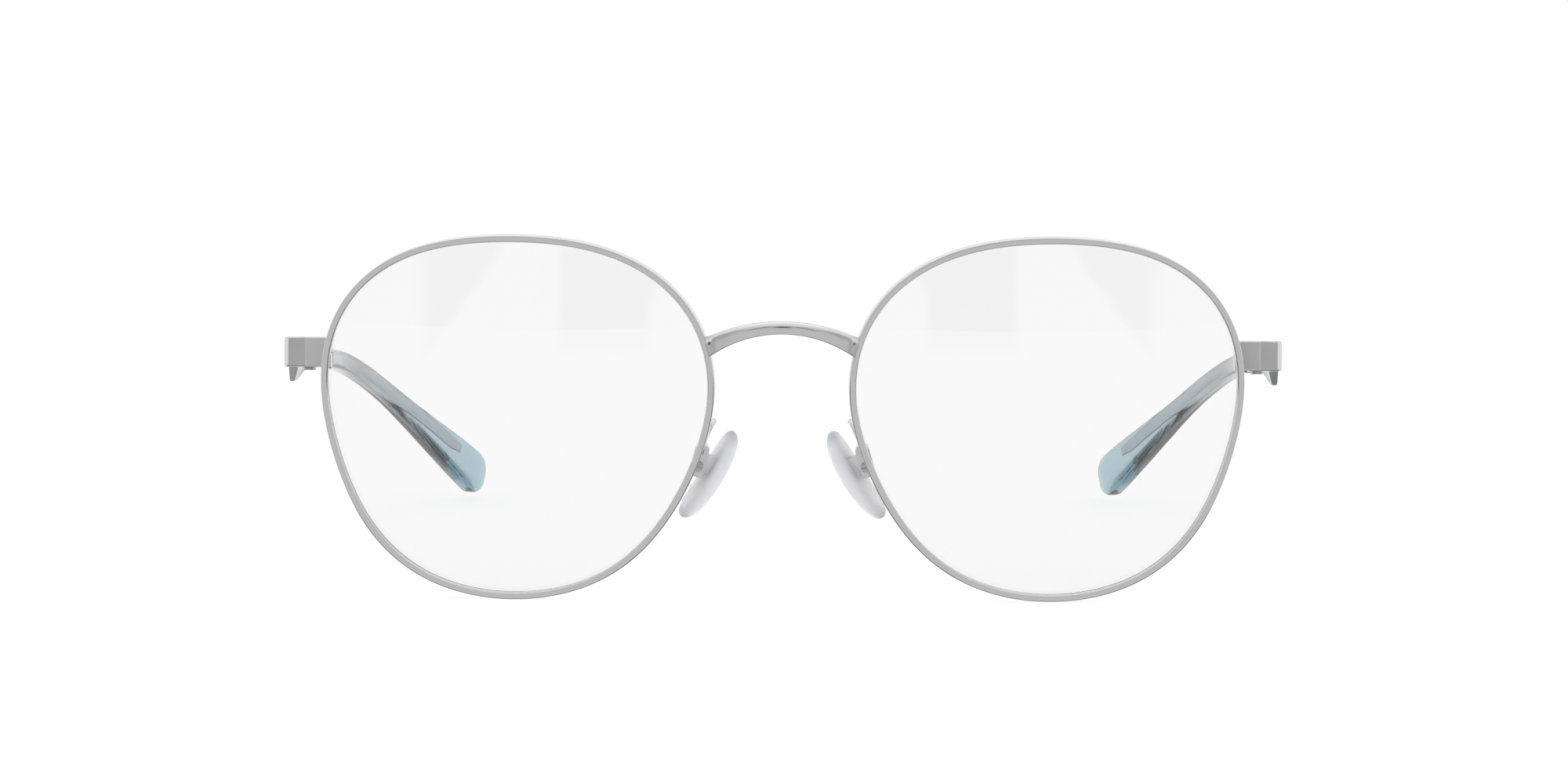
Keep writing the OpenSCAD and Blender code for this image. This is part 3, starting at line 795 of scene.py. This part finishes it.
# %% [markdown]
# The stage is an opal light table, glowing evenly, so that almost no shadow falls on it.
# Round it is a light tent: white above, behind and at the sides, a grey front, and the
# dark shapes of the camera, its boom and the tent's seams. Polished metal shows its
# surroundings, so these dark shapes are what draws its fine lines. The world makes that
# tent from the direction of each ray.

# %% Floor
floor_mesh = bpy.data.meshes.new("floor")
bm = bmesh.new()
bmesh.ops.create_grid(bm, x_segments=1, y_segments=1, size=3.0)
bm.to_mesh(floor_mesh)
bm.free()
floor = bpy.data.objects.new("floor", floor_mesh)
scene.collection.objects.link(floor)
table, tree, shader = new_material("opal_light_table")
shader.inputs["Base Color"].default_value = linear("#707070")
shader.inputs["Roughness"].default_value = 1.0
shader.inputs["Specular IOR Level"].default_value = 0.0
shader.inputs["Emission Color"].default_value = linear("#FFFFFF")
shader.inputs["Emission Strength"].default_value = 0.88
floor_mesh.materials.append(table)
floor.visible_glossy = False
print("floor", floor.dimensions)

# %% Light tent
world = bpy.data.worlds.new("light_tent")
scene.world = world
world.use_nodes = True
tree = world.node_tree
tree.nodes.clear()

# Angles in degrees: turn is round from straight in front, and rise is up. Slant is their
# weighted sum, so a line of equal slant runs down on both sides, as the boom does.
direction = add_node(tree, "ShaderNodeTexCoord").outputs["Generated"]
split = add_node(tree, "ShaderNodeSeparateXYZ", [("Vector", direction)])
angles = {axis: split.outputs[axis] for axis in "XYZ"}
for name, operation, *parts in (
        ("ahead", "MULTIPLY", "Y", -1), ("round", "ARCTAN2", "X", "ahead"),
        ("degrees round", "DEGREES", "round"), ("turn", "ABSOLUTE", "degrees round"),
        ("up", "ARCSINE", "Z"), ("rise", "DEGREES", "up"),
        ("steep turn", "MULTIPLY", "turn", 1.3), ("slant", "ADD", "rise", "steep turn")):
    inputs = [(i, angles.get(part, part)) for i, part in enumerate(parts)]
    angles[name] = add_node(tree, "ShaderNodeMath", inputs, operation=operation).outputs[0]

# Each dark shape has its darkness and its soft sides. A side has no darkness at its first
# angle and all of it at its second.
front_sides = (("turn", 74, 62), ("rise", 46, 24))
dark_shapes = {
    "grey front": (0.28, *front_sides),
    "front corners": (0.28, ("turn", 30, 38), ("turn", 66, 58), *front_sides),
    "table below": (0.6, ("rise", -46, -62)),
    "seams": (0.85, ("turn", 66, 70), ("turn", 90, 86), ("rise", -2, -6)),
    "low sides": (0.9, ("turn", 78, 88), ("turn", 132, 122),
                  ("rise", -72, -66), ("rise", -28, -34)),
    "camera": (0.97, ("turn", 6.5, 5), ("rise", -4, -2), ("rise", 21, 17)),
    "boom": (0.9, ("turn", 9, 11), ("turn", 25, 22), ("slant", 25, 27), ("slant", 39, 37)),
}
light = 1.0
for darkness, *sides in dark_shapes.values():
    dark = darkness
    for angle, none, full in sides:
        side = add_node(tree, "ShaderNodeMapRange", [("Value", angles[angle])],
                        interpolation_type="SMOOTHSTEP",
                        From_Min=min(none, full), From_Max=max(none, full),
                        To_Min=float(full < none), To_Max=float(full > none))
        dark = add_node(tree, "ShaderNodeMath", [(0, side.outputs[0]), (1, dark)],
                        operation="MULTIPLY").outputs[0]
    rest = add_node(tree, "ShaderNodeMath", [(0, 1.0), (1, dark)], operation="SUBTRACT")
    light = add_node(tree, "ShaderNodeMath", [(0, light), (1, rest.outputs[0])],
                     operation="MULTIPLY").outputs[0]

# Seen directly, or lighting a dull surface, the tent is plain white
ray = add_node(tree, "ShaderNodeLightPath").outputs
for kind in ("Is Camera Ray", "Is Diffuse Ray"):
    light = add_node(tree, "ShaderNodeMath", [(0, light), (1, ray[kind])],
                     operation="MAXIMUM").outputs[0]
background = add_node(tree, "ShaderNodeBackground", [("Color", light)])
add_node(tree, "ShaderNodeOutputWorld", [("Surface", background.outputs[0])])
print("light tent", len(tree.nodes), "nodes,", ", ".join(dark_shapes))

# %% [markdown]
# One large soft lamp above and behind the glasses gives the tops of the wires their
# bright edge. The camera stands 0.7 m in front, looking down five degrees, with a lens
# long enough to fill the frame.

# %% Lamp and camera
lamp = bpy.data.lights.new("top_softbox", "AREA")
lamp.shape = "RECTANGLE"
lamp.size, lamp.size_y = 0.8, 0.5
lamp.energy = 0.35
lamp_object = bpy.data.objects.new("top_softbox", lamp)
lamp_object.location = (0, 0.1, 0.8)
scene.collection.objects.link(lamp_object)

AZIMUTH, ELEVATION, ROLL = math.radians(-0.71), math.radians(5.33), math.radians(0.197)
DISTANCE = 700.0
look_at = Vector((0.3, FRONT_Y, FRONT_H + 3.74))
forward = Vector((math.sin(AZIMUTH) * math.cos(ELEVATION),
                  math.cos(AZIMUTH) * math.cos(ELEVATION), -math.sin(ELEVATION)))
across = Vector((math.cos(AZIMUTH), -math.sin(AZIMUTH), 0))
upward = across.cross(forward)
camera_x = across * math.cos(ROLL) + upward * math.sin(ROLL)
camera_y = upward * math.cos(ROLL) - across * math.sin(ROLL)
camera = bpy.data.cameras.new("camera")
camera.sensor_width = 36.0
camera.lens = 119.3
camera.clip_start = 0.01
camera_object = bpy.data.objects.new("camera", camera)
turned_frame = Matrix((camera_x, camera_y, -forward)).transposed().to_4x4()
camera_object.matrix_world = (Matrix.Translation((look_at - DISTANCE * forward) * MM)
                              @ turned_frame)
scene.collection.objects.link(camera_object)
scene.camera = camera_object
scene.view_settings.view_transform = "Standard"
print("camera at", camera_object.location)
